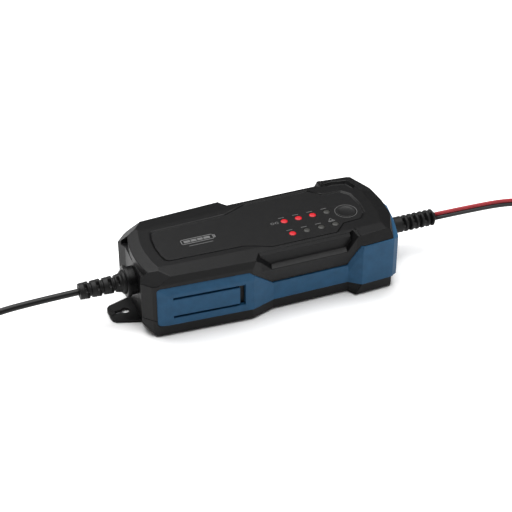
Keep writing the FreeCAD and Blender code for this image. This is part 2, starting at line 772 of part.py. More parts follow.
def lamp_group(label, lit_wanted):
    """Indicator lamps of one state: flanged foot on the upper board, barrel and domed lens."""
    low = dim("upper_board_level") + dim("board_thickness")
    high = dim("case_height") - 0.6
    barrel = dim("led_diameter")
    lamps = []
    for x, y, lit in led_places():
        if lit != lit_wanted:
            continue
        foot = cylinder(x, y, low, low + 1.0, dim("led_base_diameter"))
        body = cylinder(x, y, low + 1.0, high, barrel)
        cap_radius = 4.6
        cap_rise = cap_radius - math.sqrt(cap_radius ** 2 - (barrel / 2) ** 2)
        dome = Part.makeSphere(cap_radius, vec(x, y, high + cap_rise - cap_radius))
        dome = dome.common(cylinder(x, y, high, high + 4, barrel))
        lamps.append(foot.fuse([body, dome]).removeSplitter())
    return feature(label, Part.makeCompound(lamps))


def mode_button():
    """Dished push cap with a retaining flange and a stem, turned about its own axis."""
    body = doc.addObject("PartDesign::Body", "ButtonBody")
    profile = new_sketch(body, "ButtonProfile", "XZ_Plane")
    cap = dim("button_diameter") / 2
    flange = dim("button_flange") / 2
    flange_top = dim("case_height") - dim("roof_thickness") - dim("panel_pocket") - 1.1
    flange_low = flange_top - dim("button_flange_thickness")
    top = dim("case_height") - 0.1
    stem_low = flange_low - 0.7
    outline = [(0, stem_low), (2.2, stem_low), (2.2, flange_low), (flange, flange_low),
               (flange, flange_top), (cap, flange_top), (cap, top - 0.3), (cap - 0.3, top),
               (cap - 1.4, top), (cap - 3.0, top - 0.45), (0, top - 0.8)]
    sketch_polygon(profile, outline)
    turned = body.newObject("PartDesign::Revolution", "ButtonTurned")
    turned.Profile = profile
    turned.ReferenceAxis = (profile, ["V_Axis"])
    turned.Angle = 360
    bind(body, Placement__Base__x="Dims.button_x", Placement__Base__y="Dims.button_y")
    return keep(body, "mode_button")


def printed_board(label, prefix, x_alias, level_alias):
    """Rectangular board, padded from a bound sketch and drilled at its four corners."""
    body = doc.addObject("PartDesign::Body", label + "_body")
    outline = new_sketch(body, label + "_outline")
    sketch_rectangle(outline, f"Dims.{prefix}_length", f"Dims.{prefix}_width")
    pad = body.newObject("PartDesign::Pad", label + "_pad")
    pad.Profile = outline
    bind(pad, Length="Dims.board_thickness")
    doc.recompute()
    solid_volume = pad.Shape.Volume
    drill = new_sketch(body, label + "_drill")
    spots = corner_places(dim(prefix + "_length"), dim(prefix + "_width"), 0.0, dim("board_hole_inset"))
    for x, y in spots:
        drill.addGeometry(Part.Circle(vec(x, y), vec(0, 0, 1), dim("board_hole_diameter") / 2), False)
    pocket = body.newObject("PartDesign::Pocket", label + "_holes")
    pocket.Profile = drill
    pocket.Type = 1
    pocket.Reversed = True
    doc.recompute()
    if pocket.Shape.Volume >= solid_volume - 1.0:
        pocket.Reversed = False
        doc.recompute()
    bind(body, Placement__Base__x=f"Dims.{x_alias}", Placement__Base__z=f"Dims.{level_alias}")
    return keep(body, label)


def screw_group(label, places, head_low, head_diameter, length, diameter, downward=False):
    """Pan-head screws of one size: one turned shape, set at each place."""
    outline = [(0, 0), (head_diameter / 2, 0), (head_diameter / 2, 1.5), (head_diameter / 2 - 0.5, 2.0),
               (diameter / 2, 2.0), (diameter / 2, length + 1.4), (0, length + 2.0)]
    if downward:
        outline = [(r, -height) for r, height in outline]
    wire = Part.makePolygon([vec(r, 0, height) for r, height in outline + outline[:1]])
    screw = Part.Face(wire).revolve(vec(0, 0, 0), vec(0, 0, 1), 360)
    recess = block(-1.4, 1.4, -0.35, 0.35, -1, 0.8).fuse(block(-0.35, 0.35, -1.4, 1.4, -1, 0.8))
    if downward:
        recess = recess.mirror(vec(0, 0, 0), vec(0, 0, 1))
    screw = screw.cut(recess)
    copies = []
    for x, y in places:
        copy = screw.copy()
        copy.translate(vec(x, y, head_low))
        copies.append(copy)
    return feature(label, Part.makeCompound(copies))


def component_box(label, x, y, level):
    """A boxy component, centred on (x, y), with its three sizes bound to the sheet."""
    box = doc.addObject("Part::Box", label + "_box")
    bind(box, Length=f"Dims.{label}_length", Width=f"Dims.{label}_width", Height=f"Dims.{label}_height")
    box.Placement = FreeCAD.Placement(
        vec(x - dim(label + "_length") / 2, y - dim(label + "_width") / 2, level), FreeCAD.Rotation())
    return keep(box, label)


def board_top(alias):
    return dim(alias) + dim("board_thickness")


def transformer():
    """Ferrite core with a window, and the taped winding on its centre leg."""
    x, length, width, height = -4.0, 34.0, 32.0, 25.0
    low = board_top("main_board_level")
    leg = 10.0
    window = (length - leg) / 2 - 4.6
    core = block(x - length / 2, x + length / 2, -width / 2 + 6, width / 2 - 6, low + 1, low + 1 + height)
    for side in (-1, 1):
        start = x + side * (leg / 2 + window / 2)
        core = core.cut(block(start - window / 2, start + window / 2, -30, 30, low + 5.5, low + height - 3.5))
    feature("transformer_core", core)
    gap = 0.2
    inside_x = leg / 2 + window - gap
    outer = block(x - inside_x, x + inside_x, -width / 2, width / 2, low + 5.7, low + height - 3.7)
    slot = block(x - leg / 2, x + leg / 2, -width / 2 + 6, width / 2 - 6, 0, 60)
    feature("transformer_winding", outer.cut(slot))


def choke_coil():
    """Toroidal input choke standing on the board, wound in two halves."""
    low = board_top("main_board_level")
    ring = Part.makeTorus(8.0, 3.6, vec(-50.0, 0, low + 11.7), vec(1, 0, 0))
    base = block(-54.0, -46.0, -7.0, 7.0, low, low + 1.2)
    return feature("input_choke", ring.fuse(base))


def capacitor_group(label, places, diameter, height):
    """Electrolytic cans with a crimp groove below and a rounded rim."""
    low = board_top("main_board_level")
    cans = []
    for x, y in places:
        can = cylinder(x, y, low, low + height, diameter)
        groove = Part.makeTorus(diameter / 2 + 0.2, 0.7, vec(x, y, low + 3.0), vec(0, 0, 1))
        rim = [e for e in can.Edges if e.Closed and abs(e.BoundBox.ZMin - low - height) < 0.01]
        cans.append(can.makeFillet(0.8, rim).cut(groove))
    shape = cans[0] if len(cans) == 1 else Part.makeCompound(cans)
    return feature(label, shape)


def heatsink():
    """Finned aluminium block, and the two power devices screwed against it."""
    low = board_top("main_board_level")
    x_low, x_high = 22.0, 58.0
    sink = block(x_low, x_high, 10.0, 12.5, low, low + 24)
    count = 9
    for i in range(count):
        fin_x = x_low + i * (x_high - x_low - 1.4) / (count - 1)
        sink = sink.fuse(block(fin_x, fin_x + 1.4, 12.5, 20.0, low, low + 24))
    feature("heatsink", sink.removeSplitter())
    devices = []
    for middle in (31.0, 49.0):
        tab = block(middle - 5, middle + 5, 8.7, 10.0, low + 4, low + 19.5)
        case = block(middle - 5, middle + 5, 5.5, 8.7, low + 4, low + 13)
        legs = [block(middle + dx - 0.4, middle + dx + 0.4, 6.6, 7.2, low, low + 4) for dx in (-2.5, 0, 2.5)]
        devices.append(tab.fuse([case] + legs))
    feature("power_devices", Part.makeCompound(devices))


def fuse_link():
    """Glass fuse along X in its two clips."""
    low = board_top("main_board_level")
    glass = Part.makeCylinder(2.5, 20.0, vec(-74.0, 11.5, low + 4.2), vec(1, 0, 0))
    feature("fuse_link", glass)
    clips = []
    for x in (-73.0, -59.0):
        clip = block(x, x + 4.0, 8.1, 14.9, low, low + 5.6)
        clips.append(clip.cut(Part.makeCylinder(2.5, 30.0, vec(-80.0, 11.5, low + 4.2), vec(1, 0, 0))))
    feature("fuse_clips", Part.makeCompound(clips))


def indicator_parts():
    """Switch under the button, its return ring, and the column joining the two boards."""
    low = board_top("upper_board_level")
    x, y = dim("button_x"), dim("button_y")
    feature("tact_switch", block(x - 3.0, x + 3.0, y - 3.0, y + 3.0, low, low + 1.0)
            .fuse(cylinder(x, y, low + 1.0, low + 1.3, 3.2)))
    flange_low = (dim("case_height") - dim("roof_thickness") - dim("panel_pocket") - 1.1
                  - dim("button_flange_thickness"))
    ring_top = flange_low - dim("button_travel") - 0.2
    ring = cylinder(x, y, low, ring_top, 15.6).cut(cylinder(x, y, low - 1, ring_top + 1, 11.6))
    feature("button_return_ring", ring)
    component_box("board_link", 16.0, -16.0, board_top("main_board_level"))


def gland():
    """Compression gland of the mains lead: threaded body in the end wall and its round cap."""
    level = dim("mains_level")
    wall = dim("end_wall_x")
    bore = 8.2
    body = rod_along_x(wall - 4.6, wall, level, 20.0)
    body = body.fuse(rod_along_x(wall, wall + 5.6, level, 10.9))
    feature("gland_body", body.cut(rod_along_x(wall - 10, wall + 10, level, bore)))
    cap = rod_along_x(wall - 7.2, wall - 4.6, level, 22.6)
    rims = [e for e in cap.Edges if e.Closed and abs(e.BoundBox.XMin - (wall - 7.2)) < 0.01]
    cap = cap.makeFillet(0.9, rims)
    feature("gland_cap", cap.cut(rod_along_x(wall - 10, wall + 10, level, bore)))


def turned_body(label, outline, level_alias):
    """Piece turned about a line along X at the level given by the sheet."""
    body = doc.addObject("PartDesign::Body", label + "_body")
    profile = new_sketch(body, label + "_profile", "XZ_Plane")
    sketch_polygon(profile, outline)
    turned = body.newObject("PartDesign::Revolution", label + "_turned")
    turned.Profile = profile
    turned.ReferenceAxis = (profile, ["H_Axis"])
    turned.Angle = 360
    bind(body, Placement__Base__z=f"Dims.{level_alias}")
    return keep(body, label)


def mains_boot():
    """Flexible boot of the mains lead: bell, then four groups of ribs with narrow necks between."""
    bore = dim("mains_cord_diameter") / 2
    start = dim("end_wall_x") + 5.6
    face = dim("end_wall_x") - 7.2
    outline = [(start, bore), (start, 4.0), (face, 4.0), (face, 8.6), (face - 1.6, 8.2),
               (face - 3.6, 5.4), (face - 4.4, 4.4)]
    end = dim("mains_boot_end_x")
    groups = 4
    pitch = (face - 4.4 - end) / groups
    neck = 2.0
    for i in range(groups):
        left = face - 4.4 - i * pitch
        outer = 5.5 - 0.1 * i
        outline += [(left, outer), (left - pitch + neck, outer - 0.1)]
        if i < groups - 1:
            outline += [(left - pitch + neck, 3.9), (left - pitch, 3.9)]
    outline += [(end, 5.0), (end, bore)]
    return turned_body("mains_boot", outline, "mains_level")


def lead_boot():
    """Flexible boot of the low-voltage lead: base cone, plain collar and five rounded rings."""
    bore = dim("lead_diameter") / 2
    inner = dim("nose_x") - 5.4
    face = dim("nose_x") + dim("band_proud") + dim("band_bumper")
    end = dim("lead_boot_end_x")
    outline = [(inner - 1.8, bore), (inner - 1.8, 6.6), (inner, 6.6), (inner, 4.4), (face, 4.4),
               (face, 6.8), (face + 3.0, 6.2), (face + 6.0, 5.2), (face + 12.5, 5.2)]
    ring_start = face + 12.5
    rings = 5
    pitch = (end - ring_start) / rings
    for i in range(rings):
        left = ring_start + i * pitch
        outline += [(left, 4.0), (left + 0.9, 4.0), (left + 1.3, 5.2), (left + pitch - 0.5, 5.2),
                    (left + pitch, 4.7)]
    outline += [(end, bore)]
    return turned_body("lead_boot", outline, "lead_level")


def core_pair(label, start_x, level, terminal_x, radius):
    """Two cores from a lead's inner end, over and down onto the terminal of the main board."""
    terminal_top = board_top("main_board_level") + dim("mains_terminal_height")
    bend_level = terminal_top + 5.0
    toward = math.copysign(3.2, terminal_x - start_x)
    cores = []
    for side in (-1, 1):
        y = side * 1.4
        path = [vec(start_x, y, level), vec(start_x + toward, y, level),
                vec(terminal_x, side * 2.2, bend_level), vec(terminal_x, side * 2.2, terminal_top)]
        cores.append(rounded_tube(path, radius, label))
    feature(label, Part.makeCompound(cores))


def inner_wires():
    core_pair("mains_cores", dim("end_wall_x") + 5.6, dim("mains_level"), dim("mains_terminal_x"), 1.0)
    core_pair("lead_cores", dim("nose_x") - 7.2, dim("lead_level"), dim("lead_terminal_x"), 1.1)


def terminal_blocks():
    low = board_top("main_board_level")
    component_box("mains_terminal", dim("mains_terminal_x"), 0.0, low)
    component_box("lead_terminal", dim("lead_terminal_x"), 0.0, low)


def rounded_wire(points, label):
    """Straight runs joined by the largest tangent arcs that the runs allow."""
    edges = []
    at = points[0]
    radii = []
    for before, corner, after in zip(points, points[1:], points[2:]):
        back = before - corner
        ahead = after - corner
        turn = math.pi - back.getAngle(ahead)
        cut_back = 0.45 * min(back.Length, ahead.Length)
        radii.append(cut_back / math.tan(turn / 2))
        start = corner + back.normalize() * cut_back
        finish = corner + ahead.normalize() * cut_back
        toward = (start + finish) * 0.5 - corner
        depth = radii[-1] / math.cos(turn / 2) - radii[-1]
        middle = corner + toward.normalize() * depth
        edges.append(Part.LineSegment(at, start).toShape())
        edges.append(Part.Arc(start, middle, finish).toShape())
        at = finish
    edges.append(Part.LineSegment(at, points[-1]).toShape())
    print(label, "bend radii", [round(r, 1) for r in radii])
    return Part.Wire(edges)


def rounded_tube(points, radius, label):
    wire = rounded_wire(points, label)
    heading = (points[1] - points[0]).normalize()
    rim = Part.Wire(Part.makeCircle(radius, points[0], heading))
    tube = wire.makePipeShell([rim], True, True)
    wanted = math.pi * radius ** 2 * wire.Length
    print(label, "length", round(wire.Length, 1), "volume ratio", round(tube.Volume / wanted, 4))
    return tube


MAINS_ROUTE = [
    (-124.8, 0.0, 26.8),
    (-156.0, 0.0, 26.6),
    (-187.0, -0.6, 25.2),
    (-215.0, -4.0, 18.0),
    (-241.0, -13.0, 7.4),
    (-266.0, -27.0, 2.5),
]

LEAD_ROUTE = [
    (144.2, 0.0, 23.0),
    (176.0, 0.0, 22.7),
    (208.0, -0.6, 21.4),
    (236.0, -4.0, 15.0),
    (262.0, -13.0, 6.4),
    (286.0, -27.0, 2.6),
]


def coil_ring(label, x, width, height):
    """Outer shape of a coil lying flat: a ring with rounded edges."""
    mean = dim("coil_mean_radius")
    low = dim("coil_lift")
    ring = cylinder(x, dim("coil_y"), low, low + height, 2 * mean + width)
    ring = ring.makeFillet(3.0, [e for e in ring.Edges if e.Closed])
    return feature(label, ring.cut(cylinder(x, dim("coil_y"), -1, height + 2, 2 * mean - width)))


def coil_tie(label, x, width, height):
    """Strap round the coil's bundle, on the side away from the case."""
    middle = x + math.copysign(dim("coil_mean_radius"), x)
    half = width / 2 + 0.4
    lift = dim("coil_lift")
    y = dim("coil_y")
    outer = block(middle - half - 0.8, middle + half + 0.8, y - 3, y + 3, 0, lift + height + 0.9)
    inner = block(middle - half, middle + half, y - 4, y + 4, lift, lift + height + 0.1)
    return feature(label, outer.cut(inner))


def mains_plug():
    """Flat two-pin plug lying beside its coil, pins toward the case."""
    rear = dim("plug_rear_x")
    front = rear + dim("plug_length")
    y = dim("coil_y") + dim("coil_mean_radius")
    half = dim("plug_width") / 2
    middle = dim("plug_thickness") / 2
    plan = [(rear, y - 5.0), (rear + 10.0, y - 8.5), (front - 9.0, y - half), (front, y - half),
            (front, y + half), (front - 9.0, y + half), (rear + 10.0, y + 8.5), (rear, y + 5.0)]
    body = polygon_prism(plan, 0, 2 * middle)
    upright = [e for e in body.Edges if abs(e.BoundBox.ZLength) < 0.01]
    body = body.makeChamfer(2.0, upright)
    boot = Part.makeCone(3.6, 4.6, 11.0, vec(rear - 10.0, y, middle), vec(1, 0, 0))
    feature("mains_plug_body", body.fuse(boot))
    pins = []
    for side in (-1, 1):
        at = vec(front - 4.0, y + side * dim("pin_spacing") / 2, middle)
        pin = Part.makeCylinder(dim("pin_diameter") / 2, dim("pin_length") + 4.0, at, vec(1, 0, 0))
        tip_x = at.x + dim("pin_length") + 4
        tip = [e for e in pin.Edges if e.Closed and abs(e.BoundBox.XMin - tip_x) < 0.01]
        pins.append(pin.makeFillet(1.2, tip))
    feature("mains_plug_pins", Part.makeCompound(pins))


def lead_connector():
    """Two-pole battery connector lying beside its coil, mouth toward the case."""
    rear = dim("connector_rear_x")
    front = rear - dim("connector_length")
    y = dim("coil_y") + dim("coil_mean_radius")
    half = dim("connector_width") / 2
    height = dim("connector_thickness")
    shell = block(front, rear, y - half, y + half, 0, height)
    shell = shell.makeChamfer(0.8, [e for e in shell.Edges if abs(e.BoundBox.XLength) > 10])
    mouths = [block(front - 1, front + 14.0, y + side * 3.9 - 2.9, y + side * 3.9 + 2.9, 1.6, height - 1.6)
              for side in (-1, 1)]
    boot = Part.makeCone(4.2, 3.4, 6.0, vec(rear - 0.5, y, height / 2), vec(1, 0, 0))
    feature("lead_connector_housing", shell.cut(mouths).fuse(boot))
    contacts = [block(front + 2.0, front + 16.0, y + side * 3.9 - 2.0, y + side * 3.9 + 2.0,
                      height / 2 - 0.5, height / 2 + 0.5) for side in (-1, 1)]
    feature("lead_connector_contacts", Part.makeCompound(contacts))


def cord_with_tail(label, route, diameter, tail_start, tail_end, tail_level):
    """The free run of a cord, and the short straight tail from its coil to the piece at its end."""
    run = rounded_tube([vec(*p) for p in route], diameter / 2, label)
    y = dim("coil_y") + dim("coil_mean_radius")
    low, high = sorted((tail_start, tail_end))
    tail = Part.makeCylinder(diameter / 2, high - low, vec(low, y, tail_level), vec(1, 0, 0))
    return feature(label, Part.makeCompound([run, tail]))


def cords():
    mains_x = dim("mains_coil_x")
    cord_with_tail("mains_cord", MAINS_ROUTE, dim("mains_cord_diameter"), mains_x + 15.0,
                   dim("plug_rear_x") - 10.0, dim("plug_thickness") / 2)
    lead_x = dim("lead_coil_x")
    cord_with_tail("lead_cord", LEAD_ROUTE, dim("lead_diameter"), lead_x - 15.0,
                   dim("connector_rear_x") + 5.5, dim("connector_thickness") / 2)
    for name, x in (("mains", mains_x), ("lead", lead_x)):
        width = dim(name + "_coil_width")
        height = dim(name + "_coil_height")
        coil_ring(name + "_coil", x, width, height)
        coil_tie(name + "_coil_tie", x, width, height)
    mains_plug()
    lead_connector()


def main():
    band = band_solid()
    top_cover(band)
    bottom_case(band)
    side_band(band)
    panel_overlay()
    lamp_group("lamps_lit", True)
    lamp_group("lamps_unlit", False)
    mode_button()
    printed_board("main_board", "main_board", "main_board_x", "main_board_level")
    printed_board("indicator_board", "upper_board", "upper_board_x", "upper_board_level")
    transformer()
    choke_coil()
    capacitor_group("bulk_capacitor", [(-32.0, 0.0)], 18.0, 28.0)
    capacitor_group("output_capacitors", [(64.0, 8.0), (64.0, -8.0)], 10.0, 18.0)
    heatsink()
    fuse_link()
    indicator_parts()
    component_box("film_capacitor", -63.0, -12.0, board_top("main_board_level"))
    component_box("control_chip", 22.0, -8.0, board_top("main_board_level"))
    component_box("output_relay", 42.0, -12.0, board_top("main_board_level"))
    terminal_blocks()
    gland()
    mains_boot()
    lead_boot()
    inner_wires()
    screw_group("case_screws", case_screw_places(), 2.0, 5.6, 30.0, 2.6)
    screw_group("board_screws", main_board_places(), dim("main_board_level") + 3.6, 5.0, 8.0, 2.2, True)
    screw_group("indicator_screws", upper_board_places(), dim("upper_board_level") - 2.0, 5.0, 5.4, 2.2)
    cords()
    doc.recompute()
    write_out()


def write_out():
    """Refuses a failed object or shape, then writes each sub-part to its own file."""
    for obj in doc.Objects:
        if "Invalid" in obj.State or "Error" in obj.State:
            raise RuntimeError(f"{obj.Name} failed: {obj.State}")
    for obj in SUBPARTS:
        if obj.Shape.isNull() or not obj.Shape.isValid():
            raise RuntimeError(f"{obj.Label} has no valid shape")
    os.makedirs("parts", exist_ok=True)
    for obj in SUBPARTS:
        obj.Shape.exportStep(f"parts/{obj.Label}.step")
        print(obj.Label, "solids", len(obj.Shape.Solids), "volume", round(obj.Shape.Volume, 1))


main()
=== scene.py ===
import math

import bmesh
import bpy
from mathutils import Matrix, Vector


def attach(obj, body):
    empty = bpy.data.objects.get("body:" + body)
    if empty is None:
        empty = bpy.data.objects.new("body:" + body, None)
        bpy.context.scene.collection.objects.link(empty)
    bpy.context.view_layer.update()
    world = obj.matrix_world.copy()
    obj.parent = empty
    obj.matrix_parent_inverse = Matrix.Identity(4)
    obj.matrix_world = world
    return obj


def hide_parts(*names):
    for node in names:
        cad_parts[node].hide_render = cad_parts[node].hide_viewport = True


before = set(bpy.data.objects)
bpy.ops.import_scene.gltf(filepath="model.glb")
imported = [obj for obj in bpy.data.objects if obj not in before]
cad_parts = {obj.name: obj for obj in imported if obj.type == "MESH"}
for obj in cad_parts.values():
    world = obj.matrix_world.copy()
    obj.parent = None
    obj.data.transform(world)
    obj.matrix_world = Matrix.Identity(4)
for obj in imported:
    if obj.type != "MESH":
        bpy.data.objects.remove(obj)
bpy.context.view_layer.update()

# A battery charger seen from its front left, above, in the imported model's frame.
# The camera, the edge limits and the studio are in metres; everything else is in millimetres.
MM = 0.001

# camera
CAMERA_PLACE = (-0.3038, -0.8019, 0.6446)
CAMERA_TARGET = (0.0042, 0.0, 0.0234)
CAMERA_LENS = 105.47
SENSOR_WIDTH = 36.0

# leads: route of each free run, then the plan centre of its coil
MAINS_ROUTE = [
    (-124.8, 0.0, 26.8),
    (-156.0, 0.0, 26.6),
    (-187.0, -0.6, 25.2),
    (-215.0, -4.0, 18.0),
    (-241.0, -13.0, 7.4),
    (-266.0, -27.0, 2.5),
]
LEAD_ROUTE = [
    (144.2, 0.0, 23.0),
    (176.0, 0.0, 22.7),
    (208.0, -0.6, 21.4),
    (236.0, -4.0, 15.0),
    (262.0, -13.0, 6.4),
    (286.0, -27.0, 2.6),
]
MAINS_COIL = (-281.0, -1.0)
LEAD_COIL = (301.0, -1.0)
POINTS_PER_TURN = 16
MAINS_DIAMETER = 4.8
WIRE_DIAMETER = 2.95
WIRE_SIDES = 12
# radius and level of each turn, in winding order
MAINS_TURNS = [(31.8, 3.2), (27.0, 3.2), (22.2, 3.2), (22.2, 8.0), (27.0, 8.0), (22.2, 12.8), (27.0, 12.8),
               (31.8, 12.8), (31.8, 8.0)]
LEAD_TURNS = [(29.95, 2.3), (24.05, 2.3), (24.05, 5.3), (24.05, 8.3), (29.95, 8.3), (29.95, 5.3)]

# share of its last turn that a coil makes
COIL_LAST_TURN = 210.0 / 360.0

# level of each boot's axis
MAINS_LEVEL = 26.8
LEAD_LEVEL = 23.0

# the lead's two wires stand at this angle where they leave the boot, and lie flat past the second distance
LEAD_TILT = math.radians(54.0)
LEAD_TILT_REACH = (70.0, 150.0)

# boots: places along X, radii and slot sizes; the lead boot's slots are a first and a last middle and a count
MAINS_BOOT_END = -124.8
MAINS_BOOT_BELL = -99.6
MAINS_BOOT_FACE = -93.0
MAINS_BOOT_GROUPS = 3
MAINS_BOOT_RADIUS = 6.0
MAINS_BOOT_NECK = 4.7
MAINS_SPIGOT = (-92.9, -80.2)
MAINS_SPIGOT_RADIUS = 4.0
MAINS_SLOT_DEPTH = 2.9
LEAD_BOOT_FACE = 105.2
LEAD_BOOT_END = 144.2
LEAD_BOOT_NOSE = 1.8
LEAD_BOOT_RADIUS = 6.15
LEAD_BOOT_DIP = 5.5
LEAD_SPIGOT = (93.4, 105.1)
LEAD_SPIGOT_RADIUS = 4.4
LEAD_BOOT_BORE = 2.6
LEAD_SLOTS = (118.1, 139.6, 6)
LEAD_SLOT_DEPTH = 3.3
BOOT_STATION = 0.2
# each kind of slot: width, middle angle and half reach, in millimetres and radians
MAINS_HIGH_SLOT = (1.7, 2.25, 0.50)
MAINS_LOW_SLOT = (1.3, 3.45, 0.50)
MAINS_BELL_SLOT = (1.6, 2.25, 0.50)
LEAD_HIGH_SLOT = (2.3, 2.34, 0.62)
LEAD_LOW_SLOT = (2.3, 2.95, 1.05)
# how softly a slot's sides and ends run out
SLOT_SIDE = 0.15
SLOT_END = 0.12

# panel: the lamps' rows, the button, and the thickness of the print
LED_START = 24.6
LED_PITCH = 10.75
LEDS_IN_ROW = 4
LED_ROWS = (-1.8, -17.6)
PANEL_TOP = 49.5
BUTTON_PLACE = (69.9, -5.9)
INK_GAP = 0.01
INK_HEIGHT = 0.03

# studio: floor half width, world strength, and each lamp's place, target, size and power
FLOOR_REACH = 6.0
WORLD_STRENGTH = 0.10
AREA_LIGHTS = {
    "overhead": ((0.3, 0.2, 2.2), (0.3, 0.2, 0.0), (2.2, 2.2), 85.0),
    "rear": ((-0.5, 0.85, 1.35), (0, 0, 0.02), (1.3, 0.8), 19.0),
    "fill": ((0.7, -1.1, 0.35), (0.03, 0, 0.02), (0.7, 0.4), 3.0),
}

# which edges of the case are rounded: bends in radians, areas in square metres
FLAT_ANGLE = math.radians(0.8)
CREASE_ANGLE = math.radians(3.0)
SHARP_ANGLE = math.radians(24.0)
BROAD_AREA = 6e-6
# thinnest triangle kept
SLIVER = 0.002 * MM
# an edge goes on straight past its end above this cosine
STRAIGHT_ON = 0.8
# share of the room at an edge's end that its rounding may take
ROOM_SHARE = 0.4
# rounds of joining triangles into flat faces
MERGE_ROUNDS = 3


# ---------------------------------------------------------------- materials

def shader(name, color, roughness):
    """New material, its node tree and its shader; constants go on the shader's own sockets."""
    made = bpy.data.materials.new(name)
    made.use_nodes = True
    tree = made.node_tree
    bsdf = tree.nodes["Principled BSDF"]
    bsdf.inputs["Base Color"].default_value = (*color, 1.0)
    bsdf.inputs["Roughness"].default_value = roughness
    return made, tree, bsdf


def noise_node(tree, scale, detail=3.0, stretch=(1.0, 1.0, 1.0)):
    """Noise over the object's own coordinates, in features per metre."""
    place = tree.nodes.new("ShaderNodeTexCoord")
    mapping = tree.nodes.new("ShaderNodeMapping")
    mapping.inputs["Scale"].default_value = stretch
    made = tree.nodes.new("ShaderNodeTexNoise")
    made.inputs["Scale"].default_value = scale
    made.inputs["Detail"].default_value = detail
    tree.links.new(place.outputs["Object"], mapping.inputs["Vector"])
    tree.links.new(mapping.outputs["Vector"], made.inputs["Vector"])
    return made


def vary_color(tree, bsdf, color, amount, scale):
    """Base colour that wanders a little, lighter and darker."""
    ramp = tree.nodes.new("ShaderNodeValToRGB")
    ramp.color_ramp.elements[0].position = 0.3
    ramp.color_ramp.elements[1].position = 0.7
    ramp.color_ramp.elements[0].color = (*[c * (1 - amount) for c in color], 1.0)
    ramp.color_ramp.elements[1].color = (*[c * (1 + amount) for c in color], 1.0)
    tree.links.new(noise_node(tree, scale).outputs["Fac"], ramp.inputs["Fac"])
    tree.links.new(ramp.outputs["Color"], bsdf.inputs["Base Color"])


def vary_roughness(tree, bsdf, low, high, scale):
    spread = tree.nodes.new("ShaderNodeMapRange")
    spread.inputs["To Min"].default_value = low
    spread.inputs["To Max"].default_value = high
    tree.links.new(noise_node(tree, scale).outputs["Fac"], spread.inputs["Value"])
    tree.links.new(spread.outputs["Result"], bsdf.inputs["Roughness"])


def add_bump(tree, bsdf, scale, distance, strength=1.0, detail=3.0, stretch=(1.0, 1.0, 1.0)):
    bump = tree.nodes.new("ShaderNodeBump")
    bump.inputs["Distance"].default_value = distance
    bump.inputs["Strength"].default_value = strength
    tree.links.new(noise_node(tree, scale, detail, stretch).outputs["Fac"], bump.inputs["Height"])
    tree.links.new(bump.outputs["Normal"], bsdf.inputs["Normal"])


def moulded_plastic(name, color, roughness, grain=2600.0, relief=0.00003, specular=0.5):
    """Moulded plastic with a fine spark texture, slightly uneven in colour and gloss."""
    made, tree, bsdf = shader(name, color, roughness)
    bsdf.inputs["Specular IOR Level"].default_value = specular
    vary_color(tree, bsdf, color, 0.10, 160.0)
    vary_roughness(tree, bsdf, roughness - 0.05, roughness + 0.07, 420.0)
    add_bump(tree, bsdf, grain, relief, 0.6)
    return made


def soft_rubber(name, color):
    made, tree, bsdf = shader(name, color, 0.50)
    bsdf.inputs["Specular IOR Level"].default_value = 0.20
    vary_color(tree, bsdf, color, 0.18, 240.0)
    vary_roughness(tree, bsdf, 0.46, 0.64, 900.0)
    add_bump(tree, bsdf, 1800.0, 0.00003, 0.5)
    return made


def wire_insulation(name, color):
    """Extruded insulation: smooth, with faint lengthwise drawing marks."""
    made, tree, bsdf = shader(name, color, 0.40)
    bsdf.inputs["Specular IOR Level"].default_value = 0.22
    vary_color(tree, bsdf, color, 0.12, 120.0)
    vary_roughness(tree, bsdf, 0.32, 0.46, 500.0)
    add_bump(tree, bsdf, 900.0, 0.00002, 0.4, 2.0, (0.15, 1.0, 1.0))
    return made


def metal(name, color, roughness, stretch=(1.0, 1.0, 1.0)):
    made, tree, bsdf = shader(name, color, roughness)
    bsdf.inputs["Metallic"].default_value = 1.0
    vary_color(tree, bsdf, color, 0.08, 600.0)
    vary_roughness(tree, bsdf, roughness - 0.06, roughness + 0.08, 1200.0)
    add_bump(tree, bsdf, 2200.0, 0.00001, 0.5, 2.0, stretch)
    return made


def clear_glass(name):
    made, tree, bsdf = shader(name, (0.9, 0.93, 0.93), 0.05)
    bsdf.inputs["Transmission Weight"].default_value = 0.9
    bsdf.inputs["IOR"].default_value = 1.5
    vary_roughness(tree, bsdf, 0.03, 0.09, 300.0)
    return made


def lens(name, color, glow=0.0, glow_color=(1.0, 0.02, 0.02)):
    """Diffused lamp lens; a lit one glows."""
    made, tree, bsdf = shader(name, color, 0.45)
    bsdf.inputs["Specular IOR Level"].default_value = 0.25
    vary_color(tree, bsdf, color, 0.15, 900.0)
    add_bump(tree, bsdf, 1500.0, 0.00002, 0.3)
    if glow > 0:
        bsdf.inputs["Emission Color"].default_value = (*glow_color, 1.0)
        bsdf.inputs["Emission Strength"].default_value = glow
    return made


def printed_ink(name, color):
    made, tree, bsdf = shader(name, color, 0.5)
    vary_color(tree, bsdf, color, 0.15, 1500.0)
    return made


def circuit_board(name):
    made, tree, bsdf = shader(name, (0.02, 0.16, 0.07), 0.35)
    vary_color(tree, bsdf, (0.02, 0.16, 0.07), 0.35, 260.0)
    add_bump(tree, bsdf, 700.0, 0.00003, 0.5)
    return made


def floor_material():
    made, tree, bsdf = shader("studio_floor", (0.93, 0.93, 0.93), 0.7)
    vary_color(tree, bsdf, (0.92, 0.92, 0.92), 0.01, 6.0)
    return made


